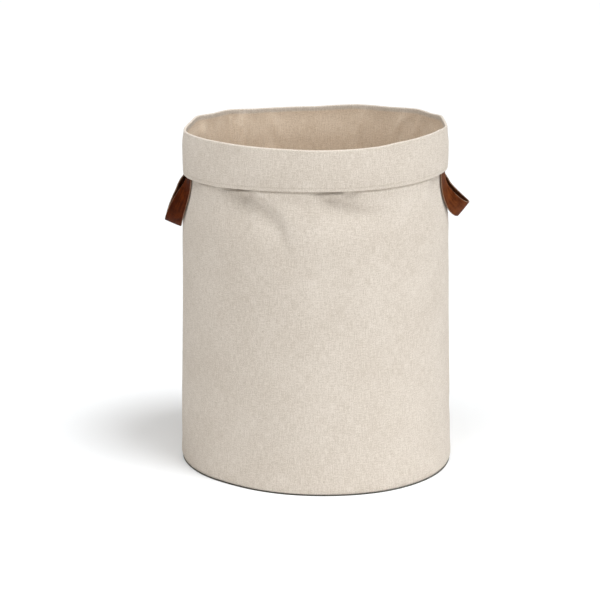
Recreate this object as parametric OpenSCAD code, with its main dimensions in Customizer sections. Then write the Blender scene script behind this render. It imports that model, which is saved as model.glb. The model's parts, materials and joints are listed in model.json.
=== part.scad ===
// Round fabric storage bin with a turned-down cuff and two leather strap handles.
// Millimetres, +Z up. The origin is the centre of the underside, the front is -Y
// and the handles are at -X (left) and +X (right).

/* [Bin] */
// Height from the floor to the top of the rolled rim
bin_height = 474; // [440:1:520]
// Outer radius of the wall just above the base
base_radius = 190; // [186:1:196]
// How much the wall draws in where the cuff grips it
neck_draw = 6.8; // [6:0.1:9]
// Thickness of the outer canvas
canvas_t = 1; // [0.8:0.1:1.1]
// Thickness of the lining cloth
lining_t = 0.9; // [0.7:0.1:1]

/* [Cuff] */
// Height of the turned-down cuff
cuff_height = 61; // [55:1:66]
// Distance of the cuff's outer face from the wall behind it, at the hem
cuff_room = 5.1; // [5.1:0.1:6]

/* [Base] */
// Thickness of the cloth under the bin
base_cloth_t = 1.6; // [1.2:0.1:1.6]
// Thickness of the stiffening board in the base
board_t = 3; // [2:0.5:3]

/* [Handles] */
// Width of the leather strap
strap_w = 25; // [20:1:28]
// Thickness of the leather strap
strap_t = 2.4; // [1.8:0.1:2.5]
// Angle of each strap end from the handle's centre line
strap_angle = 15; // [13:0.5:17]
// Length of the strap end that lies against the wall, most of it sewn down under the cuff
tab_length = 42; // [34:1:46]

/* [Hidden] */
$fn = 96;
gap = 0.1;                        // clearance between neighbouring cloth layers
stitch_r = 0.3;                   // radius of the sewing thread
hem_z = bin_height - cuff_height; // lower edge of the cuff
wall_top = bin_height - 4;        // raw top edge of the wall, inside the rolled rim
wall_bottom = base_cloth_t + 0.2; // the wall stands just above the base cloth

// Outer surface of the wall: it tapers upward, is drawn in under the cuff and rounds in at the base.
wall_taper = 0.014;
neck_start = hem_z - 78;
neck_end = hem_z - 1;
base_round = 15;
base_tuck = 2.5;
function clamp01(v) = max(0, min(1, v));
function ease(v) = v * v * (3 - 2 * v);
function neck_in(z) = neck_draw * ease(clamp01((z - neck_start) / (neck_end - neck_start)));
function base_in(z) = base_tuck * pow(1 - clamp01(z / base_round), 2);
function wall_r(z) = base_radius - wall_taper * z - neck_in(z) - base_in(z);

// Heights at which the wall's profile has a point.
neck_steps = 5;
neck_levels = [for (i = [0 : neck_steps]) neck_start + (neck_end - neck_start) * i / neck_steps];
function wall_levels(low, high) = concat(
    [low],
    [for (z = concat([8, base_round, 120, 230], neck_levels)) if (z > low + 1 && z < high - 1) z],
    [high]);

// One side of a layer that follows the wall, at a depth measured inward from it, and a whole section.
function reversed(list) = [for (i = [len(list) - 1 : -1 : 0]) list[i]];
function layer_side(low, high, depth) = [for (z = wall_levels(low, high)) [wall_r(z) - depth, z]];
function layer_section(low, high, outer_depth, inner_depth) =
    concat(layer_side(low, high, outer_depth), reversed(layer_side(low, high, inner_depth)));

// Base layers, counted upward
board_z = base_cloth_t + gap;
base_lining_z = board_z + board_t + gap;
lining_bottom = base_lining_z + lining_t + gap;
lining_depth = canvas_t + gap;
lining_inner_depth = lining_depth + lining_t;

// Side seams: a felled seam outside at the back, and the lining's own seam
seam_w = 8;
seam_t = 0.5;
seam_angle = 133;

// Cuff layers, counted inward
cuff_radius = wall_r(hem_z) + cuff_room;
face_t = 0.95;
backing_t = 0.7;
backing_radius = cuff_radius - face_t - gap;
backing_inner = backing_radius - backing_t;
hem_t = 1.2;

// Rolled rim: the lining turns over the top of the wall and meets the cuff's face, which is one
// cloth with it. The two are parted here because the cuff moves.
roll_round = 3;
roll_z = bin_height - roll_round;
cuff_roll_r = cuff_radius - roll_round;
lining_roll_r = wall_r(wall_top) - lining_inner_depth + roll_round;
lining_roll_end = cuff_roll_r - 0.3;
function roll_arc(centre_r, radius, from, to) = [
    for (i = [0 : 6]) let(a = from + (to - from) * i / 6)
        [centre_r + radius * cos(a), roll_z + radius * sin(a)]];
hem_stitch_z = hem_z + 5;

// Handles: the sewn end of the strap, then the free loop that hangs from it
tab_bottom = hem_z - 5;
tab_inner = wall_r(tab_bottom) + 0.05;
loop_top = hem_z - 13.5;
tab_stitch_inset = 3;
tab_stitch_bottom = hem_z + 6;
tab_stitch_pitch = 5;
tab_stitch_length = 3.6;
loop_rings = 14;

// Each loop leaves the wall straight down and twists until its rear edge points outward and up.
// apex_out and apex_drop place the middle of the loop, out from the base's radius and down from the
// hem; lean is how far its width tips up there.
right_loop = [["drop", 36], ["along", 18], ["out", 12], ["apex_out", 16], ["apex_drop", 57], ["lean", 52]];
left_loop = [["drop", 47], ["along", 19], ["out", 24], ["apex_out", 9], ["apex_drop", 77], ["lean", 23]];
twist_rate = 0.6;
function of_loop(loop, name) = [for (entry = loop) if (entry[0] == name) entry[1]][0];

function unit(v) = v / norm(v);
function bezier(p, t) =
    pow(1 - t, 3) * p[0] + 3 * pow(1 - t, 2) * t * p[1] + 3 * (1 - t) * t * t * p[2] + pow(t, 3) * p[3];
function bezier_slope(p, t) =
    pow(1 - t, 2) * (p[1] - p[0]) + 2 * (1 - t) * t * (p[2] - p[1]) + t * t * (p[3] - p[2]);

loop_clearance = 1.1;             // between the free loop and the wall behind its top
strap_line = wall_r(hem_z) + strap_t / 2 + loop_clearance;
loop_start = [strap_line * cos(strap_angle), -strap_line * sin(strap_angle), loop_top];
function loop_apex(loop) = [base_radius + of_loop(loop, "apex_out"), 0, hem_z - of_loop(loop, "apex_drop")];
function loop_controls(loop) = let(apex = loop_apex(loop)) [
    loop_start,
    loop_start + [of_loop(loop, "out"), 0, -of_loop(loop, "drop")],
    apex - [0, of_loop(loop, "along"), 0],
    apex];
function loop_width_dir(loop, t) = let(
    top = [sin(strap_angle), cos(strap_angle), 0],
    apex = [cos(of_loop(loop, "lean")), 0, sin(of_loop(loop, "lean"))],
    turn = pow(t, twist_rate),
    along = unit(bezier_slope(loop_controls(loop), t)),
    w = (1 - turn) * top + turn * apex) unit(w - (w * along) * along);

// Four corners of the strap's section at t, from the top of the front leg (0) to the apex (1).
function front_section(loop, t) = let(
    centre = bezier(loop_controls(loop), t),
    w = loop_width_dir(loop, t) * strap_w / 2,
    n = unit(cross(bezier_slope(loop_controls(loop), t), w)) * strap_t / 2)
    [centre - w - n, centre + w - n, centre + w + n, centre - w + n];
function rear_section(loop, t) = [for (corner = front_section(loop, t)) [corner.x, -corner.y, corner.z]];
function loop_sections(loop) = concat(
    [for (i = [0 : loop_rings]) front_section(loop, i / loop_rings)],
    [for (i = [loop_rings - 1 : -1 : 0]) rear_section(loop, i / loop_rings)]);

linen = "#DCD4C9";
linen_inside = "#C4B49E";
leather = "#65301A";
thread = "#B79A78";

// Round layer with an even radius, between two heights.
module disc(radius, low, thickness) {
    translate([0, 0, low]) cylinder(r = radius, h = thickness);
}

// Ring of thread.
module thread_ring(radius, z) {
    rotate_extrude() translate([radius, z]) circle(r = stitch_r, $fn = 16);
}

// Strip of a round layer, seam_w wide, at an angle round the bin.
module seam_strip(low, high, outer_depth, inner_depth) {
    span = seam_w / base_radius * 180 / PI;
    rotate([0, 0, seam_angle - span / 2])
        rotate_extrude(angle = span) polygon(layer_section(low, high, outer_depth, inner_depth));
}

module base_cloth() {
    color("#5A584F") disc(wall_r(wall_bottom) + 0.3, 0, base_cloth_t);
}

module base_board() {
    color("#8F7F66") disc(wall_r(board_z) - lining_inner_depth - 1, board_z, board_t);
}

module base_lining() {
    color(linen_inside) disc(wall_r(base_lining_z) - lining_depth, base_lining_z, lining_t);
}

// Thread that joins the wall to the base cloth, inside the turned seam.
module base_stitching() {
    color(thread) thread_ring(wall_r(board_z) - lining_inner_depth, board_z + 2 * stitch_r);
}

module wall_canvas() {
    color(linen) rotate_extrude() polygon(layer_section(wall_bottom, wall_top, 0, canvas_t));
}

// Lining, up inside the wall and over its top edge.
module wall_lining() {
    color(linen_inside) rotate_extrude() polygon(concat(
        layer_side(lining_bottom, wall_top, lining_depth),
        roll_arc(lining_roll_r, roll_round - lining_t, 180, 90),
        [[lining_roll_end, bin_height - lining_t], [lining_roll_end, bin_height]],
        roll_arc(lining_roll_r, roll_round, 90, 180),
        reversed(layer_side(lining_bottom, wall_top, lining_inner_depth))));
}

// Felled seam that closes the outer canvas into a tube.
module wall_seam() {
    color(linen) seam_strip(wall_bottom + 2, wall_top, -seam_t - gap / 2, -gap / 2);
}

module lining_seam() {
    color(linen_inside) seam_strip(
        lining_bottom + 1, wall_top, lining_inner_depth + gap / 2, lining_inner_depth + seam_t);
}

// One sewn end of a strap, which follows the wall under the cuff. Angle 0 is +X.
module handle_tab(angle) {
    span = strap_w / tab_inner * 180 / PI;
    color(leather) rotate([0, 0, angle - span / 2]) rotate_extrude(angle = span)
        translate([tab_inner, tab_bottom]) square([strap_t, tab_length]);
}

// Rectangle of stitches on one sewn end.
module tab_stitching(angle) {
    radius = tab_inner + strap_t + stitch_r + 0.03;
    half_w = strap_w / 2 - tab_stitch_inset;
    low = tab_stitch_bottom;
    high = tab_bottom + tab_length - tab_stitch_inset;
    color(thread) {
        for (side = [-half_w, half_w], z = [low : tab_stitch_pitch : high - tab_stitch_length])
            rotate([0, 0, angle + side / radius * 180 / PI]) translate([radius, 0, z])
                cylinder(r = stitch_r, h = tab_stitch_length, $fn = 16);
        for (z = [low - 1, high + 1], across = [-1.5 : 1 : 1.5])
            rotate([0, 0, angle + across * tab_stitch_pitch / radius * 180 / PI])
                translate([radius, 0, z]) rotate([90, 0, 0])
                    cylinder(r = stitch_r, h = tab_stitch_length, center = true, $fn = 16);
    }
}

// Visible layer of the cuff: up from the hem and over the outer half of the rolled rim.
module cuff_face() {
    color(linen) rotate_extrude() polygon(concat(
        [[cuff_radius, hem_z + hem_t + gap]],
        roll_arc(cuff_roll_r, roll_round, 0, 90),
        roll_arc(cuff_roll_r, roll_round - face_t, 90, 0),
        [[cuff_radius - face_t, hem_z + hem_t + gap]]));
}

module cuff_backing() {
    backing_height = cuff_height - hem_t - gap - roll_round - 2;
    color(linen_inside) rotate_extrude()
        translate([backing_inner, hem_z + hem_t + gap]) square([backing_t, backing_height]);
}

// Folded lower edge that closes the cuff's two layers.
module cuff_hem() {
    hem_depth = cuff_radius - backing_inner;
    color(linen) rotate_extrude() translate([backing_inner, hem_z]) square([hem_depth, hem_t]);
}

module hem_stitching() {
    color(thread) thread_ring(cuff_radius + stitch_r + 0.02, hem_stitch_z);
}

// Free part of a strap, swept through its sections; side is 1 on the right and -1 on the left.
module handle_loop(loop, side) {
    sections = loop_sections(loop);
    last = len(sections) - 1;
    points = [for (section = sections) for (corner = section) corner];
    sides = [for (i = [0 : last - 1], k = [0 : 3]) let(a = 4 * i + k, b = 4 * i + (k + 1) % 4)
        each [[a, b, b + 4], [a, b + 4, a + 4]]];
    far_end = 4 * last;
    ends = [[2, 1, 0], [3, 2, 0],
        [far_end, far_end + 1, far_end + 2], [far_end, far_end + 2, far_end + 3]];
    color(leather) mirror([side < 0 ? 1 : 0, 0, 0]) polyhedron(points, concat(sides, ends), convexity = 6);
}

base_cloth();
base_board();
base_lining();
base_stitching();
wall_canvas();
wall_lining();
wall_seam();
lining_seam();
handle_tab(180 + strap_angle);  // left_front_handle_tab
handle_tab(180 - strap_angle);  // left_rear_handle_tab
handle_tab(-strap_angle);  // right_front_handle_tab
handle_tab(strap_angle);  // right_rear_handle_tab
tab_stitching(180 + strap_angle);  // left_front_tab_stitching
tab_stitching(180 - strap_angle);  // left_rear_tab_stitching
tab_stitching(-strap_angle);  // right_front_tab_stitching
tab_stitching(strap_angle);  // right_rear_tab_stitching
cuff_face();
cuff_backing();
cuff_hem();
hem_stitching();
handle_loop(left_loop, -1);  // left_handle_loop
handle_loop(right_loop, 1);  // right_handle_loop
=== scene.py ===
import json
import math

import bpy
import numpy as np
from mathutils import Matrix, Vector


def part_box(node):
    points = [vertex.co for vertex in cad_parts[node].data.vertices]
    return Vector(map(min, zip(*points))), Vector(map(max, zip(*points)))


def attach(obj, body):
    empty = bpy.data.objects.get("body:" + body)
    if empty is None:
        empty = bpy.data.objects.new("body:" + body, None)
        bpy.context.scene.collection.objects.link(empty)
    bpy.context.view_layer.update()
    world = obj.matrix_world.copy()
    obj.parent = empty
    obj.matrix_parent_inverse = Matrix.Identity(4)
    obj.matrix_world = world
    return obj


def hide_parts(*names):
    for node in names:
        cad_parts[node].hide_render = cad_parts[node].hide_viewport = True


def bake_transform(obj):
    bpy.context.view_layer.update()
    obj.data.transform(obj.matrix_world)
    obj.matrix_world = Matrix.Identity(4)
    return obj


# A round linen storage bin with a turned-down cuff and two leather strap handles.
# Lengths are in metres. Angles round the bin are in degrees from +X, counter-clockwise seen from
# above, so that the front is at -90.

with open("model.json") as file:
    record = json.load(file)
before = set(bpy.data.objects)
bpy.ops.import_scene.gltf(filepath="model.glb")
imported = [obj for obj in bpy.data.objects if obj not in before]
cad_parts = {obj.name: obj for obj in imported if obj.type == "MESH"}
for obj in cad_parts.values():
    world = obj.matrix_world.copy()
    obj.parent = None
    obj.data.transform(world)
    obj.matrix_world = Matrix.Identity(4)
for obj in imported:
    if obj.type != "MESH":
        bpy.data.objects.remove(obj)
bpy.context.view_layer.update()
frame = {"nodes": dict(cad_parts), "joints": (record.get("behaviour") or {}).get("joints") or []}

MM = 0.001

# ---- Sizes taken from the frame -------------------------------------------------------------

wall_low, wall_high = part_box("wall_canvas")
cuff_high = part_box("cuff_face")[1]
hem_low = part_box("cuff_hem")[0]
lining_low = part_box("wall_lining")[0]
tab_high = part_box("right_front_handle_tab")[1]
base_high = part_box("base_cloth")[1]
base_lining_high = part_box("base_lining")[1]
cuff_joint = next(joint for joint in frame["joints"] if joint["name"] == "cuff_unfold")

CUFF_RADIUS = cuff_high.x
BASE_RADIUS = wall_high.x
RIM_Z = cuff_high.z
HEM_Z = hem_low.z
WALL_GIRTH = 2 * math.pi * BASE_RADIUS
CUFF_GIRTH = 2 * math.pi * CUFF_RADIUS
CUFF_TRAVEL = cuff_joint["range_m"][1]

# ---- Cloth and leather ----------------------------------------------------------------------

CANVAS = 1.0 * MM
LINING = 0.9 * MM
BACKING = 0.7 * MM
LAYER_GAP = 0.12 * MM
RIM_FOLD = 3.8 * MM  # thickness of all the layers together at the rim
HEM_ROLL = 0.95 * MM  # radius of the fold at the lower edge of the cuff
HEM_ALLOWANCE = 10 * MM  # width of the raw edge that is turned in behind the hem
HEM_STITCH_RISE = 5 * MM  # height of the stitching above the hem
STRAP_WIDTH = 25 * MM
STRAP_THICKNESS = 2.4 * MM
STRAP_ANGLE = 15
SEAM_ANGLE = 133
SEAM_WIDTH = 8 * MM
SEAM_CLOTH_PLACE = 0.2  # where the seam strips lie across the pattern of the cloth
BACKING_ABOVE_HEM = 11 * MM  # the cuff's inner layer stops clear of the turned-in edge
BACKING_BELOW_RIM = 4 * MM  # and of the rolled rim
# Length along the lined cuff's cloth from its raw edge to the top of the rim.
RIM_ALONG = HEM_ALLOWANCE + RIM_Z - HEM_Z + 6 * MM

# The lining follows the cuff when that is turned up: fully above FOLLOW_HIGH, not at all below FOLLOW_LOW.
FOLLOW_LOW = 0.23
FOLLOW_HIGH = 0.403

CREASE_RADIUS = 0.18  # turns degrees round the bin into lengths where creases are laid out
FADE_FROM = 0.35  # share of a crease's length past which it fades out


# ---- Small helpers --------------------------------------------------------------------------

def ease(v):
    """0 below 0, 1 above 1, and a smooth step between."""
    v = np.clip(v, 0, 1)
    return v * v * (3 - 2 * v)


def apart(a, b):
    """Signed difference between two angles in degrees, from -180 to 180."""
    return (a - b + 180) % 360 - 180


def round_the_bin(angle, knots, soften=3.0):
    """Value at each angle of a closed curve through (degrees, value) knots, with its corners softened."""
    steps = np.arange(0, 360, 0.5)
    places, values = zip(*knots)
    table = np.interp(steps, places, values, period=360)
    reach = np.arange(-60, 61) * 0.5
    kernel = np.exp(-((reach / soften) ** 2))
    kernel /= kernel.sum()
    smooth = np.convolve(np.concatenate([table[-60:], table, table[:60]]), kernel, "valid")
    return np.interp(np.mod(angle, 360), steps, smooth, period=360)


def soft_noise(angle, height, cells_round, cell_height, seed):
    """Smooth noise from -1 to 1 on the wall, with no seam at 360 degrees."""
    grid = np.random.default_rng(seed).uniform(-1, 1, (cells_round, 64))
    a = np.mod(angle, 360) / 360 * cells_round
    h = np.clip(height / cell_height, 0, 62)
    i, j = np.floor(a).astype(int), np.floor(h).astype(int)
    s, t = ease(a - i), ease(h - j)
    low = grid[i % cells_round, j] * (1 - s) + grid[(i + 1) % cells_round, j] * s
    high = grid[i % cells_round, j + 1] * (1 - s) + grid[(i + 1) % cells_round, j + 1] * s
    return low * (1 - t) + high * t


def crease(angle, height, route, width, spread=1):
    """How close each point is to a crease: 1 on it and 0 far away. It fades out along its route, which is
    a list of (degrees, height) points. On the route's right-hand side it is spread times as wide."""
    x, z = np.radians(angle) * CREASE_RADIUS, height
    best, along = np.full(np.shape(x + z), 1e9), np.zeros(np.shape(x + z))
    right_hand = np.zeros(np.shape(x + z), bool)
    points = [(math.radians(a) * CREASE_RADIUS, h) for a, h in route]
    lengths = [math.dist(p, q) for p, q in zip(points, points[1:])]
    start = 0.0
    for (p, q), length in zip(zip(points, points[1:]), lengths):
        run_x, run_z = (q[0] - p[0]) / length, (q[1] - p[1]) / length
        reach = np.clip((x - p[0]) * run_x + (z - p[1]) * run_z, 0, length)
        off_x, off_z = x - p[0] - reach * run_x, z - p[1] - reach * run_z
        far = np.hypot(off_x, off_z)
        nearer = far < best
        best = np.where(nearer, far, best)
        along = np.where(nearer, (start + reach) / sum(lengths), along)
        right_hand = np.where(nearer, run_x * off_z - run_z * off_x < 0, right_hand)
        start += length
    reach_width = np.where(right_hand, width * spread, width)
    return np.exp(-((best / reach_width) ** 2)) * (1 - ease((along - FADE_FROM) / (1 - FADE_FROM)))


# ---- Shape of the bin -----------------------------------------------------------------------

def cad_outline(node):
    """Heights and outer radii of a round CAD node, bottom to top."""
    points = np.array([v.co for v in frame["nodes"][node].data.vertices])
    radii = np.hypot(points[:, 0], points[:, 1])
    heights = np.unique(points[:, 2].round(5))
    return heights, np.array([radii[abs(points[:, 2] - h) < 2e-5].max() for h in heights])


WALL_HEIGHTS, WALL_RADII = cad_outline("wall_canvas")

# Height of the rolled rim above the CAD's rim, and of the hem above the CAD's hem, in mm. The cloth
# settles CLOTH_SETTLES lower than that all round.
CLOTH_SETTLES = 1 * MM
RIM_RISE = [
    (0, 0.5), (14, 6), (23, 4.4), (36, 5), (53, 2.5), (70, 1.6), (90, -2), (110, -3.4), (121, -2.2),
    (133, 0), (147, 0), (157, 1.2), (168, -3), (181, -6), (192, -4), (207, -2), (225, -1), (255, -2),
    (270, -3), (285, -2.5), (298, -1), (306, 1.6), (310, 2), (325, 4), (338, 5), (350, 3),
]
HEM_RISE = [
    (0, 4), (45, 1), (90, -3), (135, -4), (180, -6), (215, -2), (245, 2), (270, 3), (300, 3), (335, 5),
]

# How far the top of the bin stands out or in, in mm: at the back it hangs in flat panels between
# soft corners.
NECK_OUT = [
    (0, 0), (8, 0), (14, 1.5), (25, -1.5), (36, 1.5), (53, -4), (70, 0.5), (90, -7), (110, 0.5), (121, -3),
    (133, 2), (146, -3.5), (158, 2), (166, 0.5), (178, 1.8), (200, 0), (235, 0.5), (270, 0), (300, 0.8),
    (330, 0),
]
# How far the foot of the bin stands out, in mm: it is squarer at the front right.
FOOT_OUT = [
    (-145, -0.5), (-128, -2.5), (-108, 2), (-90, 5), (-60, 10.5), (-36, 8), (-18, 4), (0, 1.5), (20, 0),
    (180, 0),
]
# How close the wall comes to the cuff at the hem, in mm; negative where it dents in.
HEM_CONTACT = [
    (0, 0), (27, 0), (34, 2.4), (60, 2.4), (70, -1), (80, 2.0), (100, 2.4), (112, -1.5), (122, 2.0),
    (150, 2.2), (155, 0), (205, 0), (213, 2.2), (221, 1.4), (230, -1.2), (238, -1.8), (243, 2.4),
    (262, 2.6), (270, 1.8), (275, -1.6), (282, -1.4), (288, 2.4), (310, 2.6), (326, 2.5), (333, 0),
]

# Where a slot opens between the hem and the wall, from 0 to 1.
HEM_SLOT = [(0, 0), (225, 0), (231, 0.9), (238, 1), (241, 0), (268, 0), (273, 1), (279, 1), (282, 0)]

# Creases in the wall: route, depth in mm (a negative depth is a ridge), width in mm, and how many times
# wider its right-hand side is, going along the route.
WALL_CREASES = [
    ([(-121, 0.405), (-116, 0.394), (-111, 0.386), (-106.5, 0.372), (-103, 0.342), (-101, 0.315)],
     6.0, 6.0, 3.6),
    ([(-83, 0.408), (-78, 0.396), (-72, 0.386), (-62, 0.383), (-50, 0.386)], 3.6, 6.5, 2.6),
    ([(-113, 0.408), (-105, 0.396), (-99, 0.370), (-95, 0.340)], -1.0, 10, 1),
    ([(112, 0.411), (106, 0.390), (98, 0.355)], 2.0, 20, 1),
    ([(70, 0.411), (75, 0.385), (77, 0.350)], 1.6, 20, 1),
    ([(-142, 0.405), (-146, 0.372), (-147, 0.330)], 1.8, 14, 1),
    ([(-28, 0.406), (-25, 0.378), (-24, 0.340)], 1.2, 12, 1),
    ([(-20, 0.060), (-8, 0.078), (6, 0.070)], 1.6, 12, 1),
    ([(-150, 0.200), (-146, 0.130), (-149, 0.070)], 1.0, 22, 1),
    ([(-70, 0.300), (-66, 0.210), (-70, 0.120)], -0.8, 26, 1),
]
# Creases in the lining under the rim: route, depth and width. They stand inward, into the bin.
LINING_CREASES = [
    ([(127, 0.474), (126.5, 0.430), (127, 0.380), (128, 0.330)], 2.6, 7),
    ([(141, 0.474), (140, 0.430), (139, 0.370)], 1.8, 7),
    ([(154, 0.474), (154, 0.430), (155, 0.380)], 2.2, 8),
    ([(42, 0.476), (46, 0.452), (50, 0.425)], 2.6, 6),
    ([(33, 0.474), (35, 0.450), (39, 0.425)], 2.0, 6),
    ([(66, 0.474), (68, 0.440), (72, 0.390)], 1.8, 8),
    ([(112, 0.474), (110, 0.440), (104, 0.400)], 1.6, 8),
]


def rim_z(angle):
    """Height of the top of the rolled rim."""
    return RIM_Z + round_the_bin(angle, RIM_RISE, 1.2) * MM - CLOTH_SETTLES


def hem_z(angle):
    """Height of the lower edge of the cuff."""
    return HEM_Z + round_the_bin(angle, HEM_RISE, 9) * MM - CLOTH_SETTLES


def neck_out(angle):
    """How far the top of the bin stands out from the CAD's round."""
    return round_the_bin(angle, NECK_OUT, 1.2) * MM


def foot_out(angle, z):
    """How far the foot of the bin stands out from the CAD's round."""
    return round_the_bin(angle, FOOT_OUT, 6) * MM * (1 - ease(z / 0.22))


def rim_flare(angle, z):
    """The layers close up toward the rim, so the wall leans out and the cuff leans in. They do so only
    above the sewn strap ends."""
    from_strap = abs(abs(apart(angle, 90)) - 90)
    beside = ease((from_strap - 22) / 12)
    start = tab_high.z - beside * 26 * MM
    return ease((z - start) / (RIM_Z - 8 * MM - start))


def wall_body(angle, z):
    """Outer surface of the canvas wall, but for its flare to the rim."""
    radius = np.interp(z, WALL_HEIGHTS, WALL_RADII)
    radius = radius + neck_out(angle) * ease((z - 0.33) / (0.45 - 0.33)) + foot_out(angle, z)
    near_hem = ease((z - 0.335) / 0.06) * (1 - ease((z - HEM_Z - 0.002) / 0.02))
    contact = round_the_bin(angle, HEM_CONTACT, 1.6)
    radius = radius + contact * MM * near_hem
    # Where the cuff's hem grips the wall, the cloth swells out just below it.
    below = hem_z(angle) - z
    swell = ease((16 * MM - below) / (11 * MM)) * ease((below - 0.2 * MM) / (2.6 * MM))
    radius = radius + 1.4 * MM * swell * np.clip(contact / 2.4, 0, 1)
    slot = round_the_bin(angle, HEM_SLOT, 1.2) * (1 - ease((below - 1.6 * MM) / (3.4 * MM)))
    radius = radius - 5.2 * MM * slot * ease((below + 24 * MM) / (20 * MM))
    above_hem = ease((z - HEM_Z + 12 * MM) / (14 * MM))
    for route, depth, width, spread in WALL_CREASES:
        dent = depth * MM * crease(apart(angle, 0), z, route, width * MM, spread)
        radius = radius - dent * (1 - 0.75 * above_hem)
    lumps = 0.8 * soft_noise(angle, z, 14, 0.11, 5) + 0.4 * soft_noise(angle, z, 34, 0.045, 6)
    lumps = lumps * ease((z - 0.004) / 0.05) * (1 - 0.7 * ease((z - 0.40) / 0.01))
    return radius + lumps * MM


def wall_radius(angle, z):
    """Outer surface of the canvas wall."""
    return wall_body(angle, z) + 2.6 * MM * rim_flare(angle, z)


def lining_radius(angle, z):
    """Inner surface of the lining. It keeps clear of the wall all the way that it rises with the cuff and
    a little past that, and comes out of the rolled rim at its top."""
    rise = CUFF_TRAVEL * ease((z - FOLLOW_LOW) / (FOLLOW_HIGH - FOLLOW_LOW))
    fixed_part = np.minimum(z, tab_high.z)
    clear = wall_body(angle, fixed_part)
    for share in np.linspace(0.1, 1.1, 11):
        clear = np.minimum(clear, wall_body(angle, np.minimum(fixed_part + share * rise, tab_high.z)))
    radius = clear + 2.6 * MM * rim_flare(angle, z) - CANVAS - LAYER_GAP - LINING
    for route, depth, width in LINING_CREASES:
        radius = radius - depth * MM * crease(apart(angle, 0), z, route, width * MM)
    roll_z = rim_z(angle) - RIM_FOLD / 2
    inside_roll = cuff_face_radius(angle, roll_z) - RIM_FOLD
    settle = ease((roll_z - z) / (22 * MM))
    return inside_roll * (1 - settle) + radius * settle


def cuff_face_radius(angle, z):
    """Outer surface of the cuff between its hem and its rim."""
    share = (z - hem_z(angle)) / (rim_z(angle) - hem_z(angle))
    lumps = 0.7 * soft_noise(angle, z, 22, 0.05, 11) + 0.3 * soft_noise(angle, z, 48, 0.03, 12)
    puff = 0.6 * np.sin(math.pi * np.clip(share, 0, 1)) + lumps * ease(share / 0.2) * ease((1 - share) / 0.2)
    return CUFF_RADIUS + neck_out(angle) * 0.95 + puff * MM - 1.3 * MM * rim_flare(angle, z)


# ---- Mesh building --------------------------------------------------------------------------

COLUMNS = 480
ANGLES = np.linspace(0, 360, COLUMNS, endpoint=False)
CLOTH_UV = "Cloth"


def new_piece(name, vertices, faces, uvs=None):
    """A mesh object. uvs holds one (u, v) in metres for each corner of each face."""
    mesh = bpy.data.meshes.new(name)
    mesh.from_pydata([tuple(v) for v in vertices], [], faces)
    if uvs is not None:
        layer = mesh.uv_layers.new(name=CLOTH_UV)
        layer.data.foreach_set("uv", np.asarray(uvs, np.float32).ravel())
    mesh.polygons.foreach_set("use_smooth", [True] * len(mesh.polygons))
    mesh.update()
    piece = bpy.data.objects.new(name, mesh)
    bpy.context.scene.collection.objects.link(piece)
    return piece


def sheet_from_grid(name, points, u, v, closed=True):
    """A grid of points (rows, columns, 3) as a mesh. Columns run counter-clockwise round the bin, so the
    face normals point outward where the rows run up. u and v are (rows, columns) cloth lengths."""
    rows, columns = points.shape[:2]
    turn = u[:, -1] + (u[:, -1] - u[:, -2])
    faces, uvs = [], []
    for i in range(rows - 1):
        for j in range(columns if closed else columns - 1):
            k = (j + 1) % columns
            faces.append((i * columns + j, i * columns + k, (i + 1) * columns + k, (i + 1) * columns + j))
            u_low, u_high = (turn[i], turn[i + 1]) if k == 0 else (u[i, k], u[i + 1, k])
            uvs += [(u[i, j], v[i, j]), (u_low, v[i, k]), (u_high, v[i + 1, k]), (u[i + 1, j], v[i + 1, j])]
    return new_piece(name, points.reshape(-1, 3), faces, uvs)


def polar(radius, angle, z):
    """Points from radius, angle in degrees and height."""
    a = np.radians(angle)
    return np.stack(np.broadcast_arrays(radius * np.cos(a), radius * np.sin(a), z), axis=-1)


def thicken(piece, thickness):
    """Gives a sheet its thickness, inward from the face it was built on."""
    solid = piece.modifiers.new("Thickness", "SOLIDIFY")
    solid.thickness = thickness
    solid.offset = -1
    solid.use_even_offset = False
    return piece


def levels(*stretches):
    """Heights from several (from, to, count) stretches, each height once."""
    return np.unique(np.concatenate([np.linspace(a, b, n) for a, b, n in stretches]).round(6))


def cloth_lengths(radius, z, girth):
    """Cloth coordinates of a round sheet given by rows of radius and height: round it, and along it."""
    steps = np.hypot(np.diff(radius, axis=0), np.diff(z, axis=0)).mean(axis=1)
    v = np.broadcast_to(np.concatenate([[0], np.cumsum(steps)])[:, None], z.shape)
    u = np.broadcast_to(ANGLES / 360 * girth, z.shape)
    return u, v


# ---- Cloth pieces ---------------------------------------------------------------------------

def make_wall():
    """The canvas wall, turned in over the edge of the base at its foot."""
    top = rim_z(ANGLES) - 3.4 * MM
    share = levels((0, 0.03, 6), (0.03, 0.66, 28), (0.66, 0.84, 18), (0.84, 0.905, 20), (0.905, 1, 7))
    z = wall_low.z + share[:, None] * (top - wall_low.z)
    angle = np.broadcast_to(ANGLES, z.shape)
    spread = 1.7 * MM * (1 - ease(z / 0.03)) - 0.9 * MM * (1 - ease((z - wall_low.z) / 0.0035))
    radius = wall_radius(angle, z) + spread
    piece = sheet_from_grid("canvas_wall", polar(radius, angle, z), *cloth_lengths(radius, z, WALL_GIRTH))
    return thicken(piece, CANVAS)


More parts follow.
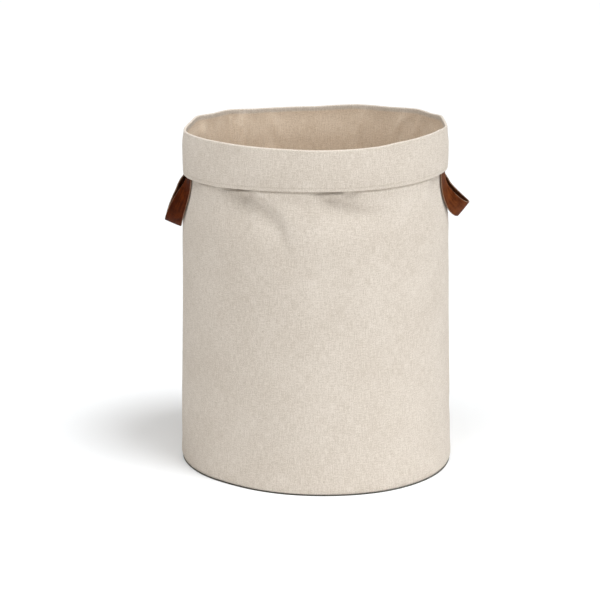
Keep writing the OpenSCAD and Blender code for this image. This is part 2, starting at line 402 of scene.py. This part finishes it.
def lined_cuff_section():
    """Radius and height of the sheet that is both cuff face and lining, one row per point: its raw edge
    inside the hem, round the hem, up the face of the cuff, over the rim, and down inside to the base."""
    top, hem = rim_z(ANGLES), hem_z(ANGLES)
    face_low, face_high = hem + HEM_ROLL, top - RIM_FOLD / 2
    hem_radius = cuff_face_radius(ANGLES, face_low)
    rows = [(hem_radius - 2 * HEM_ROLL, hem + share * HEM_ALLOWANCE) for share in (1, 0.6, 0.3, 0.1)]
    for turn in np.radians(np.linspace(195, 345, 7)):
        rows.append((hem_radius - HEM_ROLL + HEM_ROLL * math.cos(turn),
                     face_low + HEM_ROLL * math.sin(turn)))
    for share in levels((0, 0.05, 3), (0.05, 0.13, 6), (0.13, 0.9, 15), (0.9, 1, 4)):
        z = face_low + share * (face_high - face_low)
        sewn = 0.18 * MM * np.exp(-(((z - hem - HEM_STITCH_RISE) / (1.1 * MM)) ** 2))
        rows.append((cuff_face_radius(ANGLES, z) - sewn, z))
    outer = rows[-1][0]
    inner = outer - RIM_FOLD
    for turn in np.radians(np.linspace(0, 180, 12)[1:]):
        squared = np.sign(math.cos(turn)) * abs(math.cos(turn)) ** 1.1
        rows.append(((outer + inner) / 2 + (outer - inner) / 2 * squared,
                     face_high + RIM_FOLD / 2 * math.sin(turn)))
    for share in levels((0.008, 0.1, 9), (0.1, 0.36, 18), (0.36, 1, 16)):
        z = face_high + share * (lining_low.z - face_high)
        rows.append((lining_radius(ANGLES, z), z))
    return np.array([r for r, _ in rows]), np.array([z for _, z in rows])


def make_lined_cuff():
    """The lining and the cuff's face, one sheet that turns over at the rim."""
    radius, z = lined_cuff_section()
    points = polar(radius, np.broadcast_to(ANGLES, z.shape), z)
    return thicken(sheet_from_grid("lining_and_cuff", points, *cloth_lengths(radius, z, CUFF_GIRTH)), LINING)


def make_cuff_backing():
    """The cuff's inner layer, which is the top of the outer canvas turned down."""
    low, high = hem_z(ANGLES) + BACKING_ABOVE_HEM, rim_z(ANGLES) - BACKING_BELOW_RIM
    z = low + np.linspace(0, 1, 16)[:, None] * (high - low)
    radius = cuff_face_radius(ANGLES, z) - LINING - 0.35 * MM
    points = polar(radius, np.broadcast_to(ANGLES, z.shape), z)
    piece = sheet_from_grid("cuff_inner_cloth", points, *cloth_lengths(radius, z, CUFF_GIRTH))
    return thicken(piece, BACKING)


def make_disc(name, radius, z, thickness, wave):
    """A round cloth lying flat, with a soft wave, that follows the foot of the bin. Its weave runs
    straight across it, and its middle is closed by a fan of triangles."""
    share = np.concatenate([np.linspace(1, 0.98, 3), np.linspace(0.94, 0.04, 22)])[:, None]
    angle = np.broadcast_to(np.linspace(0, 360, 192, endpoint=False), (len(share), 192))
    lift = wave * soft_noise(angle, share * 0.3, 9, 0.08, 21) * ease(share / 0.3) * ease((1 - share) / 0.1)
    points = polar(share * (radius + foot_out(angle, 0)), angle, z + lift)
    rows, columns = points.shape[:2]
    vertices = [*points.reshape(-1, 3), (0, 0, z)]
    faces = []
    for i in range(rows - 1):
        for j in range(columns):
            k = (j + 1) % columns
            faces.append((i * columns + j, i * columns + k, (i + 1) * columns + k, (i + 1) * columns + j))
    inmost = (rows - 1) * columns
    faces += [(inmost + j, inmost + (j + 1) % columns, rows * columns) for j in range(columns)]
    uvs = [(vertices[i][0], vertices[i][1]) for face in faces for i in face]
    return thicken(new_piece(name, vertices, faces, uvs), thickness)


def make_seam(name, surface, low, high, outward):
    """A felled seam: a narrow raised strip on a surface, up the bin at SEAM_ANGLE. It sinks into the
    surface at its top."""
    z = np.linspace(low, high, 110)[:, None]
    across = np.array([-1, -0.86, -0.6, -0.2, 0.2, 0.6, 0.86, 1]) * SEAM_WIDTH / 2
    angle = SEAM_ANGLE + np.degrees(across / BASE_RADIUS)[None, :] + 0 * z
    raised = np.array([-0.5, 0.42, 0.55, 0.5, 0.5, 0.55, 0.42, -0.5]) * MM
    pucker = 0.12 * MM * np.sin(z / (4 * MM) * math.pi)
    tuck = 1 - ease((z - high + 6 * MM) / (6 * MM))
    z = np.broadcast_to(z, angle.shape)
    sunk = 0.9 * MM * (1 - tuck)
    radius = surface(angle, z) + outward * ((raised + pucker) * tuck - sunk)
    points = polar(radius, angle, z)
    u, v = across[None, :] + 0 * z + SEAM_CLOTH_PLACE, z
    if outward < 0:
        points, u, v = points[:, ::-1], u[:, ::-1], v[:, ::-1]
    return thicken(sheet_from_grid(name, points, u, v, closed=False), 0.5 * MM)


# ---- Leather straps -------------------------------------------------------------------------

# The free loop of each handle, in mm and degrees: drop, along and out shape its curve, apex_out and
# apex_drop place the middle of the loop, lean tips its width up there, twist sets how early the strap
# turns (a lower number is earlier), and rear is how far its rear half bulges.
RIGHT_LOOP = {"drop": 36, "along": 18, "out": 12, "apex_out": 16, "apex_drop": 57, "lean": 52, "twist": 0.6,
              "rear": 3}
LEFT_LOOP = {"drop": 47, "along": 19, "out": 24, "apex_out": 9, "apex_drop": 77, "lean": 23, "twist": 0.45,
             "rear": 4.5}
LOOP_TOP = HEM_Z - 13.5 * MM
FLAT_POINTS = 9  # points across each flat face of a strap's section


def strap_route(loop):
    """Centre line and width direction of half a strap on the right-hand side, from its sewn end to the
    middle of its loop."""
    phi = math.radians(STRAP_ANGLE)
    out = np.array([math.cos(phi), -math.sin(phi), 0])
    across = np.array([math.sin(phi), math.cos(phi), 0])
    tab_radius = np.interp(HEM_Z - 5 * MM, WALL_HEIGHTS, WALL_RADII) + 0.05 * MM + STRAP_THICKNESS / 2
    line_radius = np.interp(HEM_Z, WALL_HEIGHTS, WALL_RADII) + STRAP_THICKNESS / 2 + 1.1 * MM
    tab_heights = np.linspace(tab_high.z, LOOP_TOP + 9 * MM, 22)
    tab = [(out * tab_radius + np.array([0, 0, z]), across) for z in tab_heights]
    start = out * line_radius + np.array([0, 0, LOOP_TOP])
    apex = np.array([BASE_RADIUS + loop["apex_out"] * MM, 0, HEM_Z - loop["apex_drop"] * MM])
    p = [start, start + np.array([loop["out"], 0, -loop["drop"]]) * MM,
         apex - np.array([0, loop["along"] * MM, 0]), apex]
    lean = math.radians(loop["lean"])
    tip = np.array([math.cos(lean), 0, math.sin(lean)])
    free = []
    for t in np.linspace(0, 1, 48):
        centre = (1 - t)**3 * p[0] + 3 * (1 - t)**2 * t * p[1] + 3 * (1 - t) * t * t * p[2] + t**3 * p[3]
        turn = t ** loop["twist"]
        free.append((centre, across * (1 - turn) + tip * turn))
    return tab + free


def smooth_rows(rows, passes):
    """Rows of numbers with their corners softened, the two ends held."""
    for _ in range(passes):
        rows[1:-1] = rows[1:-1] * 0.5 + (rows[:-2] + rows[2:]) * 0.25
    return rows


def strap_outline():
    """Rounded section of the strap: (across, out) in metres, and which part of it each point is on."""
    thick, corner = STRAP_THICKNESS / 2, 0.8 * MM
    flat = STRAP_WIDTH / 2 - corner
    edge = thick - 0.3 * MM

    def rounded(side, turns):
        return [(side * flat + corner * math.cos(t), edge * math.sin(t)) for t in map(math.radians, turns)]

    face = [(a, thick - 0.25 * MM * (a / flat) ** 2) for a in np.linspace(-flat, flat, FLAT_POINTS)]
    back = [(a, -thick + 0.1 * MM * (a / flat) ** 2) for a in np.linspace(flat, -flat, FLAT_POINTS)]
    return face + rounded(1, (60, 25, -25, -60)) + back + rounded(-1, (240, 205, 155, 120))


def make_strap(name, loop, side, hide):
    """One strap of the leather hide, from one sewn end through its loop to the other. side is 1 on the
    right and -1 on the left."""
    half = strap_route(loop)
    centres = np.array([c for c, _ in half])
    widths = np.array([w for _, w in half])
    flip = np.array([1, -1, 1])
    behind = centres[-2::-1] * flip
    drop = np.clip((LOOP_TOP - behind[:, 2]) / (loop["apex_drop"] * MM), 0, 1)
    behind[:, 0] += loop["rear"] * MM * ease(drop / 0.12) * (1 - ease((drop - 0.12) / 0.28))
    centres = np.concatenate([centres, behind])
    widths = np.concatenate([widths, widths[-2::-1] * flip])
    centres, widths = smooth_rows(centres, 14), smooth_rows(widths, 14)
    along = np.gradient(centres, axis=0)
    along /= np.linalg.norm(along, axis=1)[:, None]
    widths -= (widths * along).sum(axis=1)[:, None] * along
    widths /= np.linalg.norm(widths, axis=1)[:, None]
    outs = np.cross(along, widths)
    section = strap_outline()
    length = np.concatenate([[0], np.cumsum(np.linalg.norm(np.diff(centres, axis=0), axis=1))])
    points = np.array([[c + a * w + b * n for a, b in section] for c, w, n in zip(centres, widths, outs)])
    points = points * np.array([side, 1, 1])
    rows, ring = points.shape[:2]
    reach = np.array([0.0] + [math.dist(p, q) for p, q in zip(section, section[1:] + section[:1])]).cumsum()
    faces, uvs = [], []
    for i in range(rows - 1):
        for j in range(ring):
            k = (j + 1) % ring
            face = [(i, j, reach[j]), (i, k, reach[j + 1]), (i + 1, k, reach[j + 1]), (i + 1, j, reach[j])]
            face = face if side > 0 else face[::-1]
            faces.append(tuple(a * ring + b for a, b, _ in face))
            uvs += [(u, length[a]) for a, _, u in face]
    for row, order in ((0, -1), (rows - 1, 1)):
        cap = [row * ring + j for j in range(ring)][::order * side]
        faces.append(tuple(cap))
        uvs += [(reach[c % ring], length[row]) for c in cap]
    piece = new_piece(name, points.reshape(-1, 3), faces, uvs)
    paint(piece, hide)
    piece.data.materials.append(STRAP_EDGE_AND_PAINTED_LIGHT)
    piece.data.materials.append(STRAP_BACK_PAINTED_SHADE)
    for face in piece.data.polygons[:(rows - 1) * ring]:
        place, half_ring = face.index % ring, ring // 2
        # Edge faces take the tan edge leather, which is partly painted light.
        if place % half_ring >= FLAT_POINTS - 1:
            face.material_index = 1
        # Back faces take the near-black leather, which is painted shade.
        elif place >= half_ring:
            face.material_index = 2
    return piece


# ---- Stitches -------------------------------------------------------------------------------

# Along one stitch: share of its length, thickness there, and how far it stands out, both in threads.
STITCH_PROFILE = [
    (0.0, 0.25, -0.5), (0.12, 0.85, 0.1), (0.5, 1.0, 0.55), (0.88, 0.85, 0.1), (1.0, 0.25, -0.5),
]


def make_stitches(name, stitches, thread=0.24 * MM, sides=6):
    """One mesh of separate stitches, each given by its two ends and the way it stands out."""
    vertices, faces = [], []
    for a, b, out in stitches:
        a, b, out = np.array(a), np.array(b), np.array(out) / np.linalg.norm(out)
        run = (b - a) / np.linalg.norm(b - a)
        across = np.cross(out, run)
        first = len(vertices)
        for share, size, rise in STITCH_PROFILE:
            centre = a + (b - a) * share + out * thread * rise
            for k in range(sides):
                turn = 2 * math.pi * k / sides
                vertices.append(centre + thread * size * (across * math.cos(turn) + out * math.sin(turn)))
        for i in range(len(STITCH_PROFILE) - 1):
            for k in range(sides):
                m = (k + 1) % sides
                faces.append((first + i * sides + k, first + (i + 1) * sides + k,
                              first + (i + 1) * sides + m, first + i * sides + m))
        faces.append(tuple(first + k for k in range(sides)))
        last = first + (len(STITCH_PROFILE) - 1) * sides
        faces.append(tuple(last + k for k in reversed(range(sides))))
    return new_piece(name, vertices, faces)


def make_hem_stitches():
    """Topstitching just above the hem of the cuff, all round."""
    pitch, length = 3.6 * MM, 2.7 * MM
    count = int(CUFF_GIRTH / pitch)
    stitches = []
    for i in range(count):
        ends = np.array([i - length / pitch / 2, i + length / pitch / 2]) / count * 360
        z = hem_z(ends) + HEM_STITCH_RISE
        a, b = polar(cuff_face_radius(ends, z) - 0.1 * MM, ends, z)
        stitches.append((a, b, polar(1, i / count * 360, 0)))
    return make_stitches("hem_stitches", stitches)


# ---- Materials ------------------------------------------------------------------------------

class Shader:
    """Short calls that add nodes to a new material."""

    def __init__(self, name):
        self.material = bpy.data.materials.new(name)
        self.material.use_nodes = True
        self.tree = self.material.node_tree
        self.surface = self.tree.nodes["Principled BSDF"]

    def add(self, kind, inputs=(), **settings):
        node = self.tree.nodes.new(kind)
        for key, value in settings.items():
            setattr(node, key, value)
        for key, value in dict(inputs).items():
            self.put(node.inputs[key], value)
        return node

    def put(self, socket, value):
        if isinstance(value, bpy.types.NodeSocket):
            self.tree.links.new(value, socket)
        else:
            socket.default_value = value

    def math(self, operation, *values):
        return self.add("ShaderNodeMath", enumerate(values), operation=operation).outputs[0]

    def stretch(self, vector, u, v):
        return self.add("ShaderNodeMapping", {"Vector": vector, "Scale": (u, v, 1)}).outputs[0]

    def noise(self, vector, scale, detail=2.0, roughness=0.5):
        inputs = {"Vector": vector, "Scale": scale, "Detail": detail, "Roughness": roughness}
        return self.add("ShaderNodeTexNoise", inputs).outputs[0]

    def between(self, value, low, high, to_low=0.0, to_high=1.0):
        inputs = {"Value": value, "From Min": low, "From Max": high, "To Min": to_low, "To Max": to_high}
        return self.add("ShaderNodeMapRange", inputs, interpolation_type="SMOOTHSTEP").outputs[0]

    def mix(self, share, a, b, blend="MIX"):
        node = self.add("ShaderNodeMix", data_type="RGBA", blend_type=blend)
        self.put(node.inputs[0], share)
        self.put(node.inputs[6], a)
        self.put(node.inputs[7], b)
        return node.outputs[2]


def weave_height(s, u, v, warp, weft):
    """Height of a plain weave: each thread rises over one neighbour and dives under the next."""
    across = s.math("SINE", s.math("MULTIPLY", u, math.pi / warp))
    up = s.math("SINE", s.math("MULTIPLY", v, math.pi / weft))
    over = s.between(s.math("MULTIPLY", across, up), -0.35, 0.35)
    warp_part = s.math("MULTIPLY", s.math("ABSOLUTE", across), over)
    weft_part = s.math("MULTIPLY", s.math("ABSOLUTE", up), s.math("SUBTRACT", 1.0, over))
    return s.math("ADD", warp_part, weft_part)


def weighted(s, *parts):
    """Sum of noises that are each centred on a half, with (noise, weight) pairs, again centred on a half."""
    total = 0.5
    for noise, weight in parts:
        total = s.math("ADD", total, s.math("MULTIPLY", s.math("SUBTRACT", noise, 0.5), weight))
    return total


def linen(name, pale, deep, fleck, pitch=0.85 * MM, inside=None):
    """Plain-woven linen and cotton canvas: uneven threads, short dark fibres and a rare speck of husk.
    inside is (pale, deep, from, to): other tones that take over along the cloth between two lengths."""
    s = Shader(name)
    cloth = s.add("ShaderNodeUVMap", uv_map=CLOTH_UV).outputs[0]
    parts = s.add("ShaderNodeSeparateXYZ", {"Vector": cloth})
    wander_u = s.noise(s.stretch(cloth, 500, 60), 1.0)
    wander_v = s.noise(s.stretch(cloth, 60, 500), 1.0)
    u = s.math("ADD", parts.outputs[0], s.math("MULTIPLY", wander_u, 0.9 * MM))
    v = s.math("ADD", parts.outputs[1], s.math("MULTIPLY", wander_v, 0.9 * MM))
    weave = weave_height(s, u, v, pitch, pitch * 1.08)
    warp_slubs = s.noise(s.stretch(cloth, 950, 70), 1.0, 3.0, 0.6)
    weft_slubs = s.noise(s.stretch(cloth, 90, 950), 1.0, 3.0, 0.6)
    grain = s.noise(cloth, 620.0, 3.0, 0.7)
    broad = s.noise(cloth, 16.0, 3.0, 0.55)
    tone = weighted(s, (warp_slubs, 0.7), (weft_slubs, 0.62), (grain, 1.05), (broad, 0.22))
    colour = s.mix(s.between(tone, 0.3, 0.7), deep, pale)
    if inside:
        inner_pale, inner_deep, start, end = inside
        inner = s.mix(s.between(tone, 0.3, 0.7), inner_deep, inner_pale)
        colour = s.mix(s.between(parts.outputs[1], start, end), colour, inner)
    for across, along in ((900, 330), (330, 900)):
        fibres = s.noise(s.stretch(cloth, across, along), 1.0, 2.0, 0.7)
        colour = s.mix(s.math("MULTIPLY", s.between(fibres, 0.61, 0.74), 0.55), colour, fleck)
    husks = s.add("ShaderNodeTexVoronoi", {"Vector": s.stretch(cloth, 34, 34), "Scale": 1.0}).outputs[0]
    colour = s.mix(s.math("MULTIPLY", s.between(husks, 0.028, 0.014), 0.75), colour, fleck)
    gaps = s.between(weave, 0.0, 0.45, 0.88, 1.0)
    shade = s.add("ShaderNodeCombineColor", {"Red": gaps, "Green": gaps, "Blue": gaps}).outputs[0]
    s.put(s.surface.inputs["Base Color"], s.mix(1.0, colour, shade, "MULTIPLY"))
    height = weighted(s, (weave, 1.0), (warp_slubs, 0.8), (weft_slubs, 0.6))
    raised = s.add("ShaderNodeBump", {"Height": height, "Strength": 0.5, "Distance": 0.3 * MM})
    s.put(s.surface.inputs["Normal"], raised.outputs[0])
    s.put(s.surface.inputs["Roughness"], s.between(tone, 0.3, 0.7, 0.98, 0.86))
    s.surface.inputs["Sheen Weight"].default_value = 0.08
    s.surface.inputs["Sheen Roughness"].default_value = 0.6
    s.surface.inputs["Specular IOR Level"].default_value = 0.12
    return s.material


def leather(name, deep, pale, roughness):
    """Brown strap leather: fine pebbled grain, faint streaks along it and small dark pores."""
    s = Shader(name)
    place = s.add("ShaderNodeUVMap", uv_map=CLOTH_UV).outputs[0]
    cells = s.add("ShaderNodeTexVoronoi", {"Vector": s.stretch(place, 1300, 1300), "Scale": 1.0}).outputs[0]
    cloudy = s.noise(place, 80.0, 4.0, 0.6)
    streaks = s.noise(s.stretch(place, 320, 45), 1.0, 3.0, 0.6)
    pores = s.between(s.noise(place, 1500.0, 2.0, 0.6), 0.62, 0.72)
    tone = weighted(s, (cloudy, 0.9), (streaks, 0.7))
    colour = s.mix(s.between(tone, 0.3, 0.7), deep, pale)
    colour = s.mix(s.math("MULTIPLY", pores, 0.45), colour, tuple(0.45 * c for c in deep[:3]) + (1,))
    s.put(s.surface.inputs["Base Color"], colour)
    s.put(s.surface.inputs["Roughness"], s.between(cloudy, 0.3, 0.7, roughness, roughness + 0.14))
    height = weighted(s, (cells, 0.7), (streaks, 0.8), (pores, -0.5))
    raised = s.add("ShaderNodeBump", {"Height": height, "Strength": 0.35, "Distance": 0.18 * MM})
    s.put(s.surface.inputs["Normal"], raised.outputs[0])
    s.surface.inputs["Specular IOR Level"].default_value = 0.04
    return s.material


def speckled(name, deep, pale, scale, roughness):
    """Finely speckled stuff, such as twisted thread or pressed board."""
    s = Shader(name)
    place = s.add("ShaderNodeTexCoord").outputs["Object"]
    specks = s.noise(place, scale, 3.0, 0.7)
    s.put(s.surface.inputs["Base Color"], s.mix(specks, deep, pale))
    s.put(s.surface.inputs["Roughness"], s.between(specks, 0.3, 0.7, roughness, roughness + 0.1))
    raised = s.add("ShaderNodeBump", {"Height": specks, "Strength": 0.3, "Distance": 0.12 * MM})
    s.put(s.surface.inputs["Normal"], raised.outputs[0])
    return s.material


def paint(piece, material):
    """Gives a piece one material."""
    piece.data.materials.clear()
    piece.data.materials.append(material)


LINEN_FLECK = (0.30, 0.23, 0.16, 1)
LINEN_PALE, LINEN_DEEP = (0.75, 0.675, 0.592, 1), (0.575, 0.498, 0.415, 1)
LINING_PALE, LINING_DEEP = (0.86, 0.725, 0.58, 1), (0.68, 0.54, 0.40, 1)
OUTER_LINEN = linen("oatmeal_linen", LINEN_PALE, LINEN_DEEP, LINEN_FLECK)
FACING_LINEN = linen("facing_linen", LINEN_PALE, LINEN_DEEP, LINEN_FLECK,
                     inside=(LINING_PALE, LINING_DEEP, RIM_ALONG + 2 * MM, RIM_ALONG + 6 * MM))
LINING_LINEN = linen("lining_linen", LINING_PALE, LINING_DEEP, LINEN_FLECK)
FLOOR_LINEN = linen("floor_linen", (0.79, 0.70, 0.60, 1), (0.62, 0.53, 0.43, 1), LINEN_FLECK)
BACKING_LINEN = linen("backing_linen", (0.66, 0.59, 0.51, 1), (0.53, 0.46, 0.38, 1), LINEN_FLECK)
# Near-black linen for the base cloth. Its edge shows as the dark line at the foot, and its darkness is
# painted shade standing in for the contact shadow under the wall.
BASE_WEAVE_PAINTED_SHADE = linen("base_cloth_painted_shade", (0.12, 0.115, 0.095, 1), (0.07, 0.066, 0.055, 1),
                   (0.2, 0.19, 0.17, 1))
RIGHT_LEATHER = leather("right_strap_leather", (0.074, 0.0160, 0.0026, 1), (0.154, 0.041, 0.0100, 1), 0.55)
# The left strap's leather is a darker copy of the right strap's: painted shade, for the left strap stands on
# the shaded side.
LEFT_LEATHER_PAINTED_SHADE = leather("left_strap_leather_painted_shade", (0.044, 0.0066, 0.0006, 1), (0.094, 0.0175, 0.0024, 1), 0.55)
# Near-black leather for the straps' back faces: painted shade, for those faces turn toward the wall and lie
# in its shadow.
STRAP_BACK_PAINTED_SHADE = leather("strap_back_painted_shade", (0.026, 0.0065, 0.0015, 1), (0.055, 0.0150, 0.0040, 1), 0.75)
# Tan leather for the straps' cut edges: the raw edge is paler than the grain, and it is made paler still as
# painted light, as if lit from the right.
STRAP_EDGE_AND_PAINTED_LIGHT = leather("strap_edge_and_painted_light", (0.19, 0.11, 0.07, 1), (0.30, 0.19, 0.13, 1), 0.7)
THREAD = speckled("undyed_thread", (0.46, 0.40, 0.32, 1), (0.62, 0.55, 0.46, 1), 2500.0, 0.75)
BOARD = speckled("pressed_board", (0.22, 0.15, 0.09, 1), (0.40, 0.30, 0.19, 1), 900.0, 0.8)

# ---- Make the pieces ------------------------------------------------------------------------

outer_seam = make_seam("wall_seam_strip", wall_radius, 0.006, rim_z(SEAM_ANGLE) - 4 * MM, 1)
paint(outer_seam, OUTER_LINEN)
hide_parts("wall_seam")
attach(outer_seam, "bin")

wall = make_wall()
paint(wall, OUTER_LINEN)
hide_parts("wall_canvas")
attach(wall, "bin")

inner_seam = make_seam("lining_seam_strip", lining_radius, lining_low.z, rim_z(SEAM_ANGLE) - 6 * MM, -1)
paint(inner_seam, LINING_LINEN)
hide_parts("lining_seam")
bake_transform(inner_seam)

lined_cuff = make_lined_cuff()
paint(lined_cuff, FACING_LINEN)
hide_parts("wall_lining", "cuff_face", "cuff_hem")
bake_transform(lined_cuff)

backing = make_cuff_backing()
paint(backing, BACKING_LINEN)
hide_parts("cuff_backing")
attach(backing, "cuff")

# The base cloth's dark edge is painted shade for the contact shadow at the foot.
base = make_disc("base_cloth_disc", BASE_RADIUS - 0.4 * MM, base_high.z, base_high.z, 0)
paint(base, BASE_WEAVE_PAINTED_SHADE)
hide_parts("base_cloth")
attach(base, "bin")

inside_base = make_disc("base_lining_disc", base_lining_high.x, base_lining_high.z, LINING, 0.9 * MM)
paint(inside_base, FLOOR_LINEN)
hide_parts("base_lining")
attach(inside_base, "bin")

# The left strap takes the darker leather, whose extra darkness is painted shade.
for side, loop, hide in (("right", RIGHT_LOOP, RIGHT_LEATHER), ("left", LEFT_LOOP, LEFT_LEATHER_PAINTED_SHADE)):
    strap = make_strap(f"{side}_strap", loop, 1 if side == "right" else -1, hide)
    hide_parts(f"{side}_handle_loop", f"{side}_front_handle_tab", f"{side}_rear_handle_tab")
    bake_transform(strap)

hem_stitches = make_hem_stitches()
paint(hem_stitches, THREAD)
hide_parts("hem_stitching")
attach(hem_stitches, "cuff")

BOARD_NODES = ["base_board"]
THREAD_NODES = ["base_stitching"] + [
    f"{side}_{end}_tab_stitching" for side in ("left", "right") for end in ("front", "rear")]
for material, names in ((BOARD, BOARD_NODES), (THREAD, THREAD_NODES)):
    for name in names:
        node = frame["nodes"][name]
        node.data.materials.clear()
        node.data.materials.append(material)

# ---- Studio ---------------------------------------------------------------------------------

COOL_WHITE = (0.965, 1.0, 1.035)
WORLD_WHITE = (1.0, 0.95, 0.88, 1)
WORLD_STRENGTH = 0.28
FLOOR_WHITES = (0.92, 0.92, 0.92, 1), (0.94, 0.94, 0.94, 1)
FLOOR_HALF_SIZE = 40.0

# Broad distant lights: turn round the bin, height above the floor and softness in degrees, and strength.
SUNS = {
    "key": {"turn": -33, "height": 66, "strength": 2.15, "softness": 26},
    "fill": {"turn": -125, "height": 70, "strength": 0.78, "softness": 30},
}
# Broad flat lamps: place, the point that they face, size and power.
SOFTBOXES = {
    "right": {"place": (1.5, -0.95, 0.42), "aim": (0, 0, 0.2), "size": (1.0, 0.7), "power": 3.0},
    "front": {"place": (0.7, -1.9, 0.40), "aim": (0, 0, 0.2), "size": (1.2, 0.7), "power": 3.9},
    "above": {"place": (-0.30, -0.25, 1.2), "aim": (0.1, 0.1, 0.3), "size": (0.4, 0.4), "power": 2.6},
}
CAMERA_PLACE = (-0.022, -3.0, 0.987)
CAMERA_LENS = 131.9
CAMERA_SENSOR = 36
CAMERA_DOWN = 14.28  # degrees that the camera looks down


def make_floor():
    """A broad white floor, which is not part of the object."""
    size = FLOOR_HALF_SIZE
    points = [(-size, -size, 0), (size, -size, 0), (size, size, 0), (-size, size, 0)]
    floor = new_piece("studio_floor", points, [(0, 1, 2, 3)])
    s = Shader("floor_white")
    place = s.add("ShaderNodeTexCoord").outputs["Object"]
    s.put(s.surface.inputs["Base Color"], s.mix(s.noise(place, 3.0), *FLOOR_WHITES))
    s.surface.inputs["Roughness"].default_value = 0.95
    s.surface.inputs["Specular IOR Level"].default_value = 0.0
    floor.data.materials.append(s.material)


def make_softbox(name, place, aim, size, power):
    """A broad flat lamp at place that faces aim."""
    lamp = bpy.data.lights.new(name, "AREA")
    lamp.shape = "RECTANGLE"
    lamp.size, lamp.size_y = size
    lamp.color = COOL_WHITE
    lamp.energy = power
    holder = bpy.data.objects.new(name, lamp)
    holder.location = place
    toward = Vector(aim) - Vector(place)
    holder.rotation_euler = toward.to_track_quat("-Z", "Y").to_euler()
    bpy.context.scene.collection.objects.link(holder)


def make_sun(name, turn, height, strength, softness):
    """A broad distant light from turn degrees round the bin and height degrees above the floor."""
    lamp = bpy.data.lights.new(name, "SUN")
    lamp.color = COOL_WHITE
    lamp.energy = strength
    lamp.angle = math.radians(softness)
    holder = bpy.data.objects.new(name, lamp)
    level = math.cos(math.radians(height))
    toward = Vector(polar(level, turn, math.sin(math.radians(height))))
    holder.rotation_euler = toward.to_track_quat("Z", "Y").to_euler()
    bpy.context.scene.collection.objects.link(holder)


def make_camera():
    """The camera, in front of the bin and looking a little down on it."""
    camera = bpy.data.cameras.new("camera")
    camera.lens = CAMERA_LENS
    camera.sensor_width = CAMERA_SENSOR
    holder = bpy.data.objects.new("camera", camera)
    holder.location = CAMERA_PLACE
    holder.rotation_euler = (math.radians(90 - CAMERA_DOWN), 0, 0)
    bpy.context.scene.collection.objects.link(holder)
    bpy.context.scene.camera = holder


make_floor()
for name, settings in SUNS.items():
    make_sun(name, **settings)
for name, settings in SOFTBOXES.items():
    make_softbox(name, **settings)
world = bpy.data.worlds.new("studio")
world.use_nodes = True
background = world.node_tree.nodes["Background"]
background.inputs["Color"].default_value = WORLD_WHITE
background.inputs["Strength"].default_value = WORLD_STRENGTH
bpy.context.scene.world = world
bpy.context.scene.view_settings.view_transform = "Standard"
make_camera()
